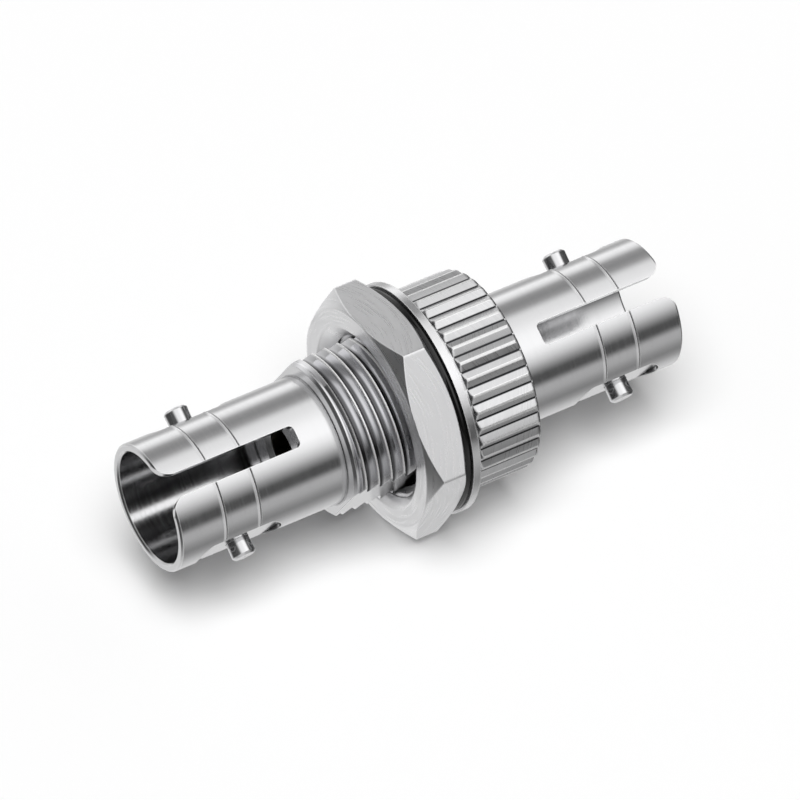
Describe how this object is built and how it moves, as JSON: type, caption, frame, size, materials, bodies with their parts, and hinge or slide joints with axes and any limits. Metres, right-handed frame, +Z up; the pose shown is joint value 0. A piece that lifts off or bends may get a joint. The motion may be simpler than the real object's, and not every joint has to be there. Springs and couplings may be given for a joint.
{
  "type": "fibre optic adapter",
  "caption": "Metal bayonet fibre optic bulkhead adapter: a keyed socket at each end, a panel thread with hexagon nut and seal, and a knurled collar.",
  "frame": {"origin": "centre of the alignment sleeve, on the axis, where the two ferrules meet", "axes": "+X along the axis from the threaded front end to the knurled rear end; +Z up with the axis level; the keyways are clocked 33 degrees from +Z towards -Y"},
  "size_m": [0.0298, 0.0138, 0.0126],
  "materials": {
    "nickel_plated_housing": "turned brass under satin nickel plate",
    "nickel_plated_pin": "drawn pin under satin nickel plate",
    "nickel_plated_washer": "stamped spring bronze under nickel plate",
    "nickel_plated_nut": "milled flats under satin nickel plate",
    "phosphor_bronze": "bright spring bronze",
    "black_rubber": "moulded black rubber"
  },
  "bodies": {
    "housing": {"front_housing": "nickel_plated_housing", "rear_housing": "nickel_plated_housing", "split_sleeve": "phosphor_bronze", "front_bayonet_pin_high": "nickel_plated_pin", "front_bayonet_pin_low": "nickel_plated_pin", "rear_bayonet_pin_high": "nickel_plated_pin", "rear_bayonet_pin_low": "nickel_plated_pin"},
    "washer": {"lock_washer": "nickel_plated_washer"},
    "seal": {"seal_ring": "black_rubber"},
    "nut": {"hex_nut": "nickel_plated_nut"}
  },
  "joints": [
    {"name": "washer_slide", "type": "slide", "parent": "housing", "child": "washer", "axis": [-1, 0, 0], "range_m": [0, 0.0015]},
    {"name": "nut_travel", "type": "slide", "parent": "housing", "child": "seal", "axis": [-1, 0, 0], "range_m": [0, 0.003]},
    {"name": "nut_spin", "type": "hinge", "parent": "seal", "child": "nut", "pos_m": [0, 0, 0], "axis": [-1, 0, 0], "range_deg": [0, 1440]}
  ],
  "couplings": [
    {"joint": "nut_spin", "follows": "nut_travel", "rad_per_m": 8377.6},
    {"joint": "washer_slide", "follows": "nut_travel", "ratio": 0.5}
  ]
}
